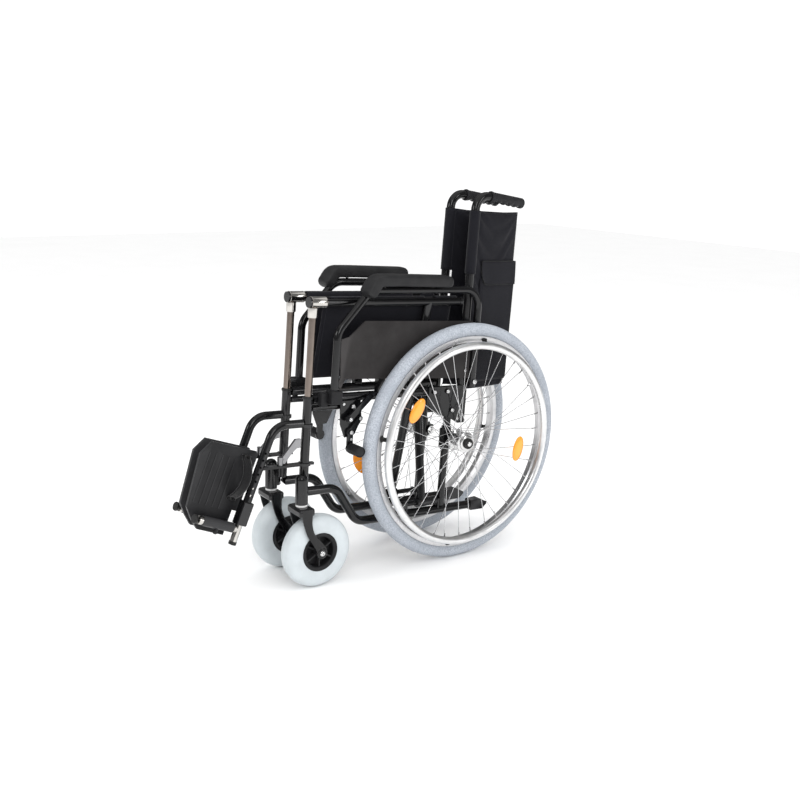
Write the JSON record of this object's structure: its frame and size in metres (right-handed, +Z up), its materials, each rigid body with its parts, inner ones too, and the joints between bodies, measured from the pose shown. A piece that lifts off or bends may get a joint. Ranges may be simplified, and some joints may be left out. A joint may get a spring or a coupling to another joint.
{
  "type": "manual wheelchair",
  "caption": "Folding manual wheelchair with tubular side frames on a crossed brace, large handrim wheels, front casters, flip-back armrests and swing-away footrests, shown folded.",
  "frame": {"origin": "on the floor, under the middle of the folded chair's outline", "axes": "+X to the user's left, -Y to the front, +Z up"},
  "size_m": [0.277, 1.0301, 0.93],
  "materials": {
    "black_paint": "gloss black powder coat",
    "bright_steel": "polished",
    "grip_rubber": "matt",
    "black_nylon": "satin moulded",
    "grey_nylon": "satin moulded",
    "guard_plastic": "matt fine grain",
    "upholstery": "matt woven nylon",
    "pad_foam": "matt moulded foam",
    "strap": "woven webbing",
    "caster_rubber": "smooth matt",
    "grey_tyre": "fine tread",
    "silver_rim": "satin",
    "silver_hub": "polished",
    "spoke_steel": "bright",
    "anodised_handrim": "clear anodised",
    "reflector": "gloss orange"
  },
  "bodies": {
    "frame_left": {"front_post_left": "black_paint", "lower_rail_left": "black_paint", "side_frame_left": "black_paint", "back_cane_left": "black_paint", "push_grip_left": "grip_rubber", "armrest_socket_left": "black_nylon"},
    "frame_right": {"front_post_right": "black_paint", "lower_rail_right": "black_paint", "side_frame_right": "black_paint", "back_cane_right": "black_paint", "push_grip_right": "grip_rubber", "armrest_socket_right": "black_nylon"},
    "brace_a": {"cross_arm_a": "black_paint", "seat_rail_right": "black_paint"},
    "brace_b": {"cross_arm_b": "black_paint", "seat_rail_left": "black_paint"},
    "guide_left": {"guide_rod_left": "bright_steel"},
    "seat_left": {"seat_cloth_left": "upholstery"},
    "back_left": {"back_cloth_left": "upholstery"},
    "armrest_left": {"armrest_tube_left": "black_paint", "armrest_pad_left": "pad_foam", "side_guard_left": "guard_plastic"},
    "hanger_left": {"hanger_tube_left": "black_paint", "foot_tube_left": "bright_steel"},
    "catch_left": {"hanger_lever_left": "grey_nylon"},
    "footrest_left": {"footplate_left": "black_nylon", "heel_loop_left": "strap"},
    "fork_left": {"caster_fork_left": "black_paint"},
    "caster_left": {"caster_tyre_left": "caster_rubber", "caster_hub_left": "black_nylon"},
    "wheel_left": {"wheel_tyre_left": "grey_tyre", "wheel_rim_left": "silver_rim", "wheel_hub_left": "silver_hub", "wheel_spokes_left": "spoke_steel", "handrim_left": "anodised_handrim", "wheel_reflectors_left": "reflector"},
    "brake_left": {"brake_lever_left": "black_paint"},
    "shoe_left": {"brake_shoe_left": "black_paint"},
    "guide_right": {"guide_rod_right": "bright_steel"},
    "seat_right": {"seat_cloth_right": "upholstery"},
    "back_right": {"back_cloth_right": "upholstery"},
    "armrest_right": {"armrest_tube_right": "black_paint", "armrest_pad_right": "pad_foam", "side_guard_right": "guard_plastic"},
    "hanger_right": {"hanger_tube_right": "black_paint", "foot_tube_right": "bright_steel"},
    "catch_right": {"hanger_lever_right": "grey_nylon"},
    "footrest_right": {"footplate_right": "black_nylon", "heel_loop_right": "strap"},
    "fork_right": {"caster_fork_right": "black_paint"},
    "caster_right": {"caster_tyre_right": "caster_rubber", "caster_hub_right": "black_nylon"},
    "wheel_right": {"wheel_tyre_right": "grey_tyre", "wheel_rim_right": "silver_rim", "wheel_hub_right": "silver_hub", "wheel_spokes_right": "spoke_steel", "handrim_right": "anodised_handrim", "wheel_reflectors_right": "reflector"},
    "brake_right": {"brake_lever_right": "black_paint"},
    "shoe_right": {"brake_shoe_right": "black_paint"}
  },
  "joints": [
    {"name": "fold", "type": "hinge", "parent": "frame_left", "child": "brace_a", "pos_m": [0.049, 0.20109, 0.13924], "axis": [0, -0.9985, 0.0541], "range_deg": [0, 36.58]},
    {"name": "brace_pivot", "type": "hinge", "parent": "brace_a", "child": "brace_b", "pos_m": [0, 0.21513, 0.39836], "axis": [0, -0.9985, 0.0541], "range_deg": [-73.16, 0]},
    {"name": "lower_pivot_right", "type": "hinge", "parent": "brace_b", "child": "frame_right", "pos_m": [-0.049, 0.20109, 0.13924], "axis": [0, -0.9985, 0.0541], "range_deg": [0, 36.58]},
    {"name": "guide_pivot_right", "type": "hinge", "parent": "brace_a", "child": "guide_right", "pos_m": [-0.049, 0.22916, 0.65748], "axis": [0, -0.9985, 0.0541], "range_deg": [-36.58, 0]},
    {"name": "guide_pivot_left", "type": "hinge", "parent": "brace_b", "child": "guide_left", "pos_m": [0.049, 0.22916, 0.65748], "axis": [0, -0.9985, 0.0541], "range_deg": [0, 36.58]},
    {"name": "seat_hinge_left", "type": "hinge", "parent": "brace_b", "child": "seat_left", "pos_m": [0.049, 0.22916, 0.65748], "axis": [0, 0.9985, -0.0541], "range_deg": [0, 42.57], "deforming": ["seat_cloth_left"]},
    {"name": "seat_crease", "type": "hinge", "parent": "seat_left", "child": "seat_right", "pos_m": [0, 0.21899, 0.46962], "axis": [0, 0.9985, -0.0541], "range_deg": [-158.3, 0], "deforming": ["seat_cloth_right"]},
    {"name": "back_hinge_left", "type": "hinge", "parent": "frame_left", "child": "back_left", "pos_m": [0.049, 0.24626, 0.60348], "axis": [0, 0.0541, 0.9985], "range_deg": [0, 79.15], "deforming": ["back_cloth_left"]},
    {"name": "back_crease", "type": "hinge", "parent": "back_left", "child": "back_right", "pos_m": [0, 0.43413, 0.5933], "axis": [0, 0.0541, 0.9985], "range_deg": [-158.3, 0], "deforming": ["back_cloth_right"]},
    {"name": "armrest_flip_left", "type": "hinge", "parent": "frame_left", "child": "armrest_left", "pos_m": [0.07, 0.25513, 0.45278], "axis": [-1, 0, 0], "range_deg": [0, 90]},
    {"name": "hanger_swing_left", "type": "hinge", "parent": "frame_left", "child": "hanger_left", "pos_m": [0.049, -0.22629, 0.32863], "axis": [0, 0.0541, 0.9985], "range_deg": [0, 85]},
    {"name": "catch_left", "type": "hinge", "parent": "hanger_left", "child": "catch_left", "pos_m": [0.049, -0.29301, 0.31722], "axis": [0, -0.0541, -0.9985], "range_deg": [0, 20]},
    {"name": "footplate_left", "type": "hinge", "parent": "hanger_left", "child": "footrest_left", "pos_m": [0.049, -0.40397, 0.17301], "axis": [0, -0.9232, 0.3843], "range_deg": [0, 65]},
    {"name": "caster_swivel_left", "type": "hinge", "parent": "frame_left", "child": "fork_left", "pos_m": [0.072, -0.24843, 0.24], "axis": [0, 0, 1], "range_deg": [-230, 50]},
    {"name": "caster_roll_left", "type": "hinge", "parent": "fork_left", "child": "caster_left", "pos_m": [0.072, -0.20843, 0.09], "axis": [1, 0, 0], "continuous": true},
    {"name": "wheel_roll_left", "type": "hinge", "parent": "frame_left", "child": "wheel_left", "pos_m": [0.0989, 0.21007, 0.305], "axis": [1, 0, 0], "continuous": true},
    {"name": "brake_lever_left", "type": "hinge", "parent": "frame_left", "child": "brake_left", "pos_m": [0.075, -0.12022, 0.401], "axis": [1, 0, 0], "range_deg": [0, 50]},
    {"name": "brake_shoe_left", "type": "hinge", "parent": "frame_left", "child": "shoe_left", "pos_m": [0.067, -0.11307, 0.36656], "axis": [1, 0, 0], "range_deg": [0, 7.7]},
    {"name": "armrest_flip_right", "type": "hinge", "parent": "frame_right", "child": "armrest_right", "pos_m": [-0.07, 0.25513, 0.45278], "axis": [-1, 0, 0], "range_deg": [0, 90]},
    {"name": "hanger_swing_right", "type": "hinge", "parent": "frame_right", "child": "hanger_right", "pos_m": [-0.049, -0.22629, 0.32863], "axis": [0, -0.0541, -0.9985], "range_deg": [0, 85]},
    {"name": "catch_right", "type": "hinge", "parent": "hanger_right", "child": "catch_right", "pos_m": [-0.049, -0.29301, 0.31722], "axis": [0, 0.0541, 0.9985], "range_deg": [0, 20]},
    {"name": "footplate_right", "type": "hinge", "parent": "hanger_right", "child": "footrest_right", "pos_m": [-0.049, -0.40397, 0.17301], "axis": [0, 0.9232, -0.3843], "range_deg": [0, 65]},
    {"name": "caster_swivel_right", "type": "hinge", "parent": "frame_right", "child": "fork_right", "pos_m": [-0.072, -0.24843, 0.24], "axis": [0, 0, 1], "range_deg": [-50, 230]},
    {"name": "caster_roll_right", "type": "hinge", "parent": "fork_right", "child": "caster_right", "pos_m": [-0.072, -0.20843, 0.09], "axis": [1, 0, 0], "continuous": true},
    {"name": "wheel_roll_right", "type": "hinge", "parent": "frame_right", "child": "wheel_right", "pos_m": [-0.0989, 0.21007, 0.305], "axis": [1, 0, 0], "continuous": true},
    {"name": "brake_lever_right", "type": "hinge", "parent": "frame_right", "child": "brake_right", "pos_m": [-0.075, -0.12022, 0.401], "axis": [1, 0, 0], "range_deg": [0, 50]},
    {"name": "brake_shoe_right", "type": "hinge", "parent": "frame_right", "child": "shoe_right", "pos_m": [-0.067, -0.11307, 0.36656], "axis": [1, 0, 0], "range_deg": [0, 7.7]}
  ],
  "couplings": [
    {"joint": "brace_pivot", "follows": "fold", "ratio": -2},
    {"joint": "lower_pivot_right", "follows": "fold", "ratio": 1},
    {"joint": "guide_pivot_right", "follows": "fold", "ratio": -1},
    {"joint": "guide_pivot_left", "follows": "fold", "ratio": 1},
    {"joint": "seat_hinge_left", "follows": "fold", "ratio": 1.1636},
    {"joint": "seat_crease", "follows": "fold", "ratio": -4.3272},
    {"joint": "back_hinge_left", "follows": "fold", "ratio": 2.1636},
    {"joint": "back_crease", "follows": "fold", "ratio": -4.3272},
    {"joint": "footplate_left", "follows": "fold", "ratio": 1.7769},
    {"joint": "brake_shoe_left", "follows": "brake_lever_left", "ratio": 0.15},
    {"joint": "footplate_right", "follows": "fold", "ratio": 1.7769},
    {"joint": "brake_shoe_right", "follows": "brake_lever_right", "ratio": 0.15}
  ]
}
